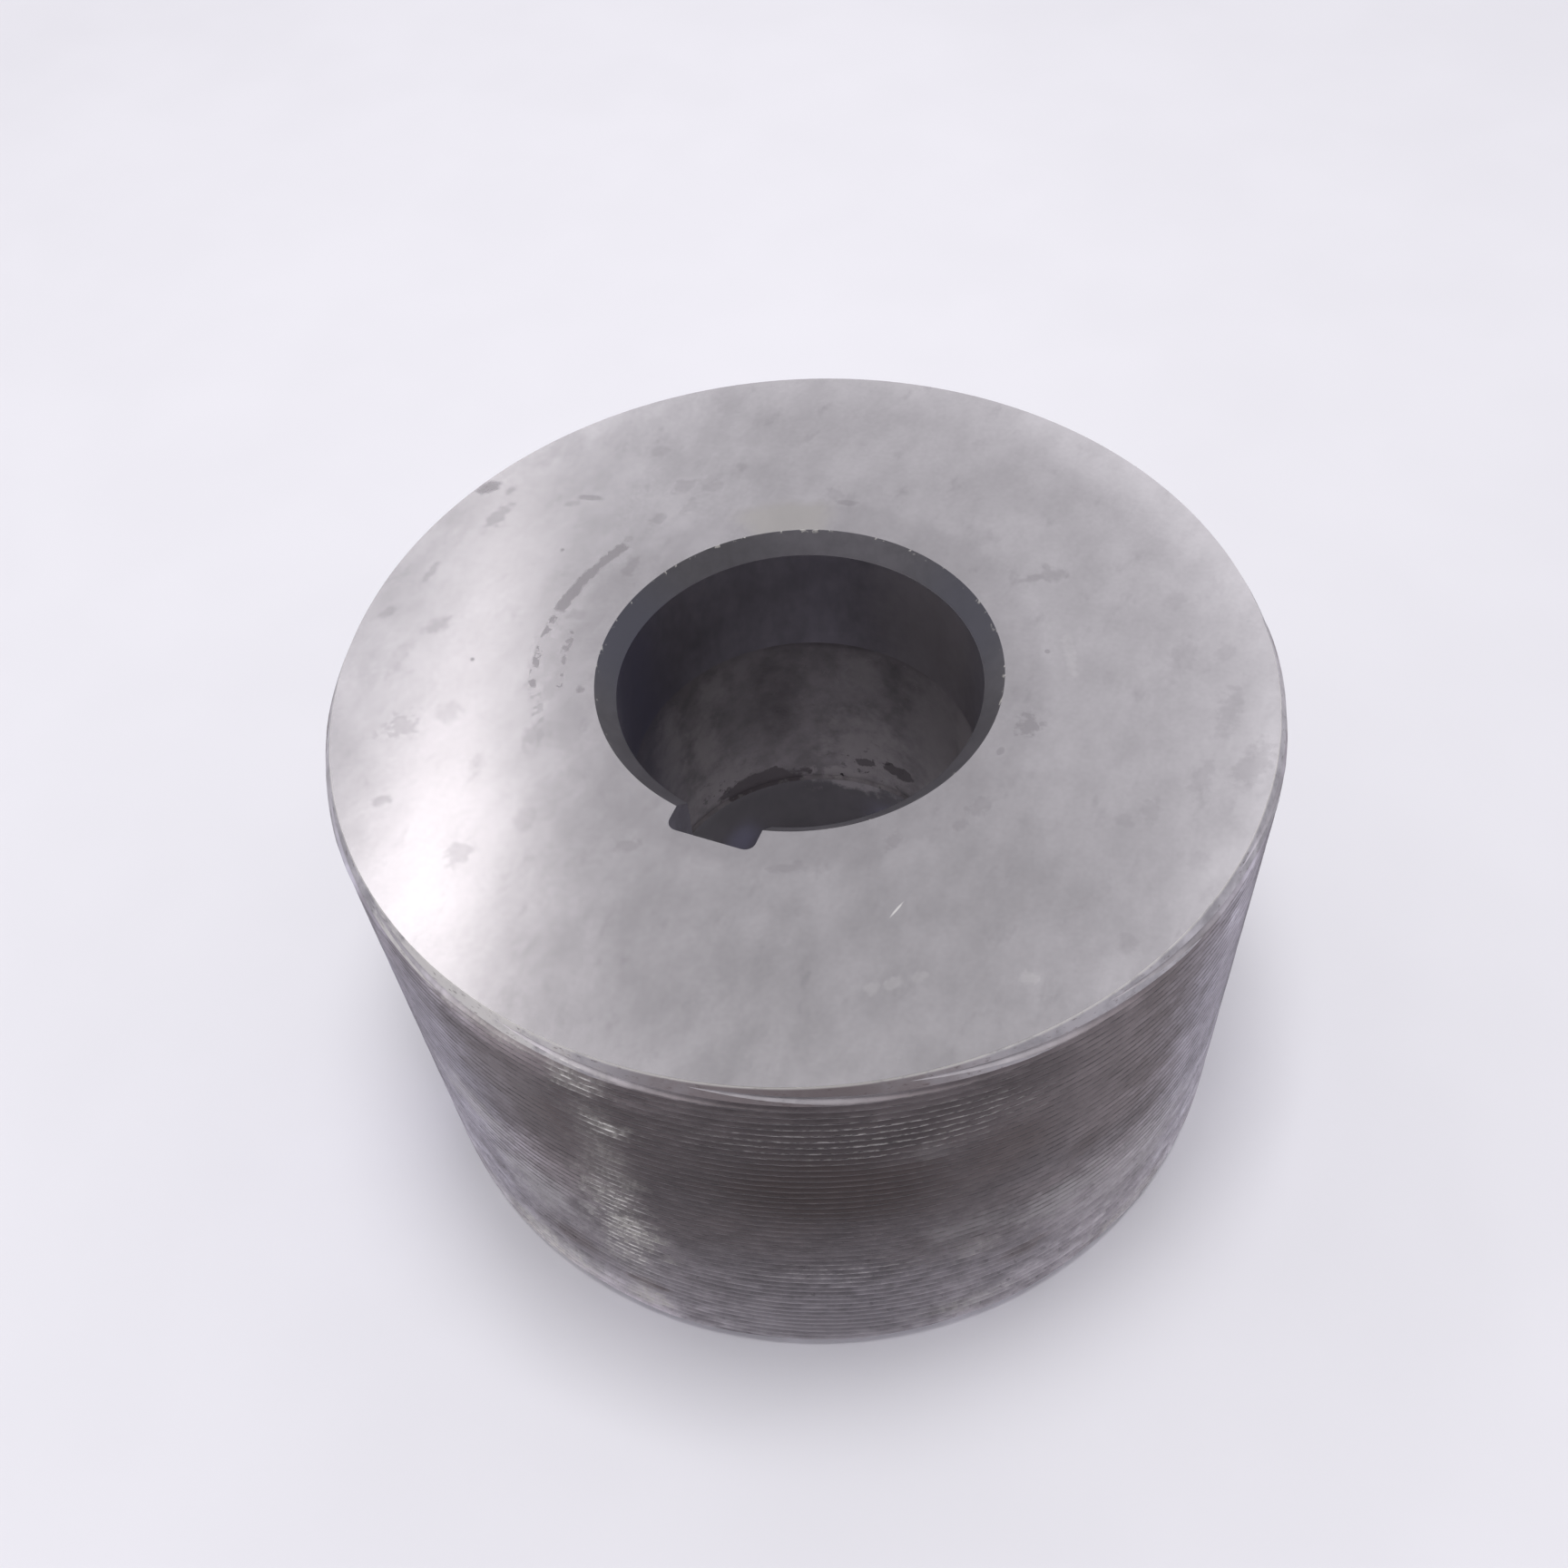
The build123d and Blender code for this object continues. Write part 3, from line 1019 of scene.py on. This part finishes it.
def mouth_chamfer_finish(scene):
    """The chamfers of the bore: dull dark steel with a few bright nicks at the lip."""
    finishes = scene.die_finish
    made = Finish("Mouth Chamfer", finishes.chamfer_steel, 0.42, metallic=0.1, specular=0.4)
    clouds = made.grain(0.06, detail=3.0)
    made.vary(clouds, 0.18)
    made.vary(made.grain(0.5, detail=4.0), 0.10)
    made.tint(patches(made, BLUED_MOUTH_PATCHES, clouds), finishes.blued_steel)
    made.lighten(patches(made, PALE_MOUTH_PATCHES, clouds), 0.34)
    lip = made.spread(made.radius, 29.3, 29.7)
    nicks = made.spread(made.grain(0.7, detail=3.0), 0.60, 0.66)
    made.tint(made.times(made.times(lip, nicks), 0.6), finishes.cream_haze)
    made.lift(made.grain(1.2, detail=3.0, stretch=(0.3, 0.3, 2.0)), 0.006)
    return made.done(0.4)


# Patches in the bore, in the same order
BLUED_BORE_PATCHES = (
    (188.0, 60.0, 40.0, 60.0, 0.6, 0.5, 1.0),
    (75.0, 14.0, 26.0, 8.0, 0.8, 0.5, 0.7),
    (144.0, 10.0, 15.0, 8.0, 0.8, 0.5, 0.8),
)
# Partly pale scale; the narrow row at height 22 is a painted highlight at the ledge
PALE_LAND_PATCHES = (
    (60.0, 68.0, 44.0, 60.0, 0.5, 0.50, 0.66),
    (96.0, 22.0, 20.0, 3.2, 2.6, 0.40, 0.5),
)
# Partly pale scale and partly painted light: the big patch at heading 90 is the lit table's painted
# reflection, the row at height 24.5 a painted highlight above the ledge
PALE_BORE_PATCHES = (
    (90.0, 32.0, 28.0, 17.0, 1.8, 0.50, 0.95),
    (92.0, 52.0, 15.0, 8.0, 1.8, 0.50, 0.55),
    (147.0, 53.0, 12.0, 6.0, 1.8, 0.50, 0.60),
    (153.0, 40.0, 11.0, 14.0, 1.8, 0.50, 0.75),
    (170.0, 46.0, 16.0, 16.0, 1.8, 0.50, 0.90),
    (148.0, 29.0, 26.0, 9.0, 1.8, 0.50, 0.65),
    (104.0, 24.5, 18.0, 3.4, 2.4, 0.25, 1.0),
    (58.0, 46.0, 28.0, 36.0, 1.0, 0.50, 0.80),
    (43.0, 52.0, 16.0, 20.0, 0.8, 0.50, 0.95),
)
DARK_BORE_PATCHES = (
    (78.0, 28.7, 12.0, 3.0, 1.8, 0.10, 0.8),
    (92.0, 28.2, 8.0, 2.2, 2.4, 0.10, 0.7),
    (133.0, 24.4, 36.0, 4.6, 1.4, 0.10, 0.85),
    (123.0, 44.0, 15.0, 19.0, 1.6, 0.45, 0.42),
    # Painted shadow under the step at the top of the relief
    (105.0, 58.2, 38.0, 2.0, 1.0, 0.40, 0.5),
)


def bore_land_finish(scene):
    """The ground lands of the bore: dark and fairly smooth, blued at the sides, darker towards the bottom
    with painted shade, and paler in patches of scale and painted light.
    """
    finishes = scene.die_finish
    made = Finish("Bore Land", finishes.bore_steel, 0.34, metallic=0.8)
    clouds = made.grain(0.08, detail=3.0)
    made.vary(clouds, 0.16)
    made.vary(made.grain(0.5, detail=3.0, stretch=(1.0, 1.0, 0.5)), 0.08)
    # Painted shade: the land darkens towards the bottom of the bore
    made.tint(made.times(made.spread(made.height, 30.0, 20.0), 0.78), finishes.oil_and_shade)
    made.tint(patches(made, BLUED_BORE_PATCHES, clouds), finishes.navy_steel)
    pale = patches(made, PALE_LAND_PATCHES, made.grain(0.5, detail=4.0))
    made.tint(made.times(pale, 0.85), finishes.scale_and_painted_light)
    made.roughen(made.grain(0.3, detail=3.0), 0.10)
    made.lift(made.grain(1.2, detail=3.0, stretch=(0.4, 0.4, 2.0)), 0.006)
    return made.done(0.4)


def bore_relief_finish(scene):
    """The relieved band of the bore: never ground, browned, pitted and stained, with pale scale and painted
    light where the lit table shows in it, and a painted shadow under the step at its top.
    """
    finishes = scene.die_finish
    made = Finish("Bore Relief", finishes.rough_bore, 0.48, metallic=0.7)
    clouds = made.grain(0.06, detail=3.0)
    breaks = made.grain(0.40, detail=5.0)
    made.vary(clouds, 0.15)
    made.vary(made.grain(0.25, detail=4.0, offset=(5.0, 0.0, 3.0)), 0.18)
    pale = patches(made, PALE_BORE_PATCHES, breaks)
    made.tint(made.times(pale, 0.85), finishes.scale_and_painted_light)
    made.tint(made.times(patches(made, BLUED_BORE_PATCHES[:1], clouds), 0.5), finishes.navy_steel)
    made.tint(patches(made, DARK_BORE_PATCHES, breaks), finishes.burnt_oil_and_shadow)
    pits = made.spread(made.grain(0.7, detail=4.0), 0.60, 0.66)
    near_edge = made.spread(made.height, 36.0, 24.0)
    made.tint(made.times(pits, made.times(pale, near_edge)), finishes.oil_and_shade)
    made.roughen(pale, 0.10)
    made.lift(made.grain(0.8, detail=4.0), 0.04)
    made.lift(pits, -0.04)
    return made.done(0.6)


def keyway_finish(scene):
    """The keyway: broached steel, streaked along its length."""
    finishes = scene.die_finish
    made = Finish("Keyway", finishes.keyway_steel, 0.38, metallic=0.8)
    made.vary(made.grain(0.2, detail=3.0, stretch=(1.0, 1.0, 0.2)), 0.20)
    made.vary(made.grain(0.5, detail=4.0), 0.10)
    made.lift(made.grain(1.5, detail=3.0, stretch=(1.0, 1.0, 0.08)), 0.01)
    return made.done(0.5)


FINISH_MAKERS = (
    ground_face_finish,
    rim_bevel_finish,
    thread_finish,
    mouth_chamfer_finish,
    bore_land_finish,
    bore_relief_finish,
    keyway_finish,
)


# Table, lamps and camera

# Places and sizes of the lamps, in metres. The long sides of the strip lamp and the end lamp have one heading
OVERHEAD_PLACE = (0.02, 0.01, 1.38)
OVERHEAD_SIZE = (0.5, 0.5)
STRIP_PLACE = (-0.636, 0.643, 0.981)
STRIP_SIZE = (0.59, 0.04)
END_PLACE = (-0.529, 0.352, 0.981)
END_SIZE = (0.46, 0.10)
STRIP_HEADING = math.radians(105.5)


def table_material(studio):
    """A matt pale table top with the faintest unevenness and a painted shade towards the camera's right,
    which fades into the backdrop far away.
    """
    made = Finish("Table", studio.table, 0.8, metallic=0.0, specular=0.0)
    made.vary(made.grain(0.02, detail=2.0), 0.012)
    # Painted shade: the table top is made a little darker towards the camera's right
    painted_shade_side = dot(made.tree, made.position, towards(studio.camera_side + math.pi / 2))
    made.lighten(made.spread(painted_shade_side, 20.0, 160.0), -0.03)
    fade_start = 450.0
    fade_end = 1600.0
    black = (0.0, 0.0, 0.0)
    far = made.spread(made.radius, fade_start, fade_end)
    made.tint(far, black)
    made.glow = blend_colour(made.tree, far, black, studio.backdrop)
    # The glow is only seen, so no rays are sent to look for it
    made.material.cycles.emission_sampling = "NONE"
    return made.done()


def make_table(studio):
    """The table top, as a wide level sheet."""
    side = 8.0
    bm = bmesh.new()
    bmesh.ops.create_grid(bm, x_segments=8, y_segments=8, size=side / 2)
    table = new_piece("table", bm)
    table.data.materials.append(table_material(studio))
    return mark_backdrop(table)


def make_lamp(name, place_at, size, watts, heading=0.0, tint=(1.0, 1.0, 1.0)):
    """An area lamp that faces straight down, with its length along a heading."""
    lamp = bpy.data.lights.new(name, "AREA")
    lamp.shape = "RECTANGLE"
    lamp.size, lamp.size_y = size
    lamp.energy = watts
    lamp.color = tint
    holder = bpy.data.objects.new(name, lamp)
    holder.location = place_at
    holder.rotation_euler.z = heading
    bpy.context.scene.collection.objects.link(holder)
    return holder


def towards(heading, height=0.0):
    """The unit vector along a heading, at a height from nought to one."""
    level = math.sqrt(1 - height * height)
    return (level * math.cos(heading), level * math.sin(heading), height)


def make_room_light(studio):
    """The room's own light: brightest low down and to the sides, and shaded by whoever stands at the
    camera. Where the camera sees it, it is the plain backdrop."""
    world = bpy.data.worlds.new("room_light")
    world.use_nodes = True
    tree = world.node_tree
    tree.nodes.clear()
    direction = place(tree, "ShaderNodeTexCoord").outputs["Generated"]
    upward = place(tree, "ShaderNodeSeparateXYZ", {0: direction}).outputs["Z"]
    below = spread(tree, upward, 0.0, 0.7, studio.sky_low, studio.sky_middle)
    above = spread(tree, upward, 0.62, 0.95, 0.0, studio.sky_high - studio.sky_middle)
    level = calculate(tree, "ADD", below, above)
    horizon = spread(tree, upward, 0.16, 0.40, studio.sky_rim, 1.0)
    sideways = dot(tree, direction, towards(studio.camera_side + math.pi / 2))
    sides = calculate(tree, "MULTIPLY", calculate(tree, "MULTIPLY", sideways, sideways), studio.sky_sides)
    most_sides = 1.45
    sides = calculate(tree, "MINIMUM", calculate(tree, "ADD", sides, 1.0), most_sides)
    viewer_height = 0.81
    viewer = dot(tree, direction, towards(studio.camera_side, viewer_height))
    shade = spread(tree, viewer, 0.60, 1.0, 1.0, studio.shade_level)
    rays = place(tree, "ShaderNodeLightPath").outputs
    soft = spread(tree, rays["Is Diffuse Ray"], 0.0, 1.0, 1.0, studio.soft_share)
    for share_left in (horizon, sides, shade, soft):
        level = calculate(tree, "MULTIPLY", level, share_left)
    room = place(tree, "ShaderNodeBackground", {"Color": (0.97, 0.96, 1.0, 1.0), "Strength": level})
    white = place(tree, "ShaderNodeBackground", {"Color": (*studio.backdrop, 1.0), "Strength": 1.0})
    seen = {0: rays["Is Camera Ray"], 1: room.outputs[0], 2: white.outputs[0]}
    both = place(tree, "ShaderNodeMixShader", seen)
    output = place(tree, "ShaderNodeOutputWorld")
    tree.links.new(both.outputs[0], output.inputs["Surface"])
    bpy.context.scene.world = world


def make_camera(studio):
    """The camera, where the photograph was taken from."""
    sensor = 36.0
    lens = bpy.data.cameras.new("camera")
    lens.sensor_width = sensor
    lens.lens = studio.lens
    lens.clip_start = 0.01
    camera = bpy.data.objects.new("camera", lens)
    stand = Vector(towards(studio.camera_side)) * studio.camera_distance
    stand.z = studio.camera_height
    turned = Matrix.Rotation(studio.camera_aim - math.pi / 2, 4, "Z")
    dipped = Matrix.Rotation(math.pi / 2 - studio.camera_dip, 4, "X")
    rolled = Matrix.Rotation(-studio.camera_roll, 4, "Z")
    camera.matrix_world = Matrix.Translation(stand) @ turned @ dipped @ rolled
    bpy.context.scene.collection.objects.link(camera)
    bpy.context.scene.camera = camera


# Operators, panel and registration


class ROLLING_DIE_OT_threaded_ring(bpy.types.Operator):
    """Model the threaded ring, give it its finishes and let it stand for the plain one"""

    bl_idname = "rolling_die.threaded_ring"
    bl_label = "Threaded Ring"

    def execute(self, context):
        scene = context.scene
        die = make_threaded_ring(scene.die_ring, scene.die_thread)
        if not len(die.data.polygons):
            raise RuntimeError("the ring and its thread left no faces")
        for number, maker in enumerate(FINISH_MAKERS):
            die.data.materials[number] = maker(scene)
        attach(die, "root")
        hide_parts(NODE)
        return {"FINISHED"}


class ROLLING_DIE_OT_studio(bpy.types.Operator):
    """Lay the table and set up the lamps, the room's light and the camera"""

    bl_idname = "rolling_die.studio"
    bl_label = "Studio"

    def execute(self, context):
        studio = context.scene.die_studio
        make_table(studio)
        warm = context.scene.die_finish.lamp_tint
        make_lamp("overhead_lamp", OVERHEAD_PLACE, OVERHEAD_SIZE, studio.overhead_power)
        make_lamp("strip_lamp", STRIP_PLACE, STRIP_SIZE, studio.strip_power, STRIP_HEADING, warm)
        make_lamp("end_lamp", END_PLACE, END_SIZE, studio.end_power, STRIP_HEADING, warm)
        make_room_light(studio)
        make_camera(studio)
        context.scene.view_settings.view_transform = "Standard"
        return {"FINISHED"}


class ROLLING_DIE_PT_panel(bpy.types.Panel):
    """Settings and steps of the rolling die"""

    bl_idname = "ROLLING_DIE_PT_panel"
    bl_label = "Rolling Die"
    bl_space_type = "VIEW_3D"
    bl_region_type = "UI"
    bl_category = "Rolling Die"

    def draw(self, context):
        layout = self.layout
        layout.use_property_split = True
        for title, settings, operator in STEPS:
            box = layout.box()
            box.label(text=title)
            group = getattr(context.scene, settings)
            for key in group.__annotations__:
                box.prop(group, key)
            if operator:
                box.operator(operator)


STEPS = (
    ("Ring", "die_ring", None),
    ("Thread", "die_thread", None),
    ("Finishes", "die_finish", ROLLING_DIE_OT_threaded_ring.bl_idname),
    ("Studio", "die_studio", ROLLING_DIE_OT_studio.bl_idname),
)
SETTINGS = {
    "die_ring": RingSettings,
    "die_thread": ThreadSettings,
    "die_finish": FinishSettings,
    "die_studio": StudioSettings,
}
CLASSES = (*SETTINGS.values(), ROLLING_DIE_OT_threaded_ring, ROLLING_DIE_OT_studio, ROLLING_DIE_PT_panel)


def register():
    """Registers the classes and hangs the settings on the scene."""
    for each in CLASSES:
        bpy.utils.register_class(each)
    for name, settings in SETTINGS.items():
        setattr(bpy.types.Scene, name, PointerProperty(type=settings))


def unregister():
    """Takes the settings off the scene and unregisters the classes."""
    for name in SETTINGS:
        delattr(bpy.types.Scene, name)
    for each in reversed(CLASSES):
        bpy.utils.unregister_class(each)


def main():
    register()
    bpy.ops.rolling_die.threaded_ring()
    bpy.ops.rolling_die.studio()


if __name__ == "__main__":
    main()
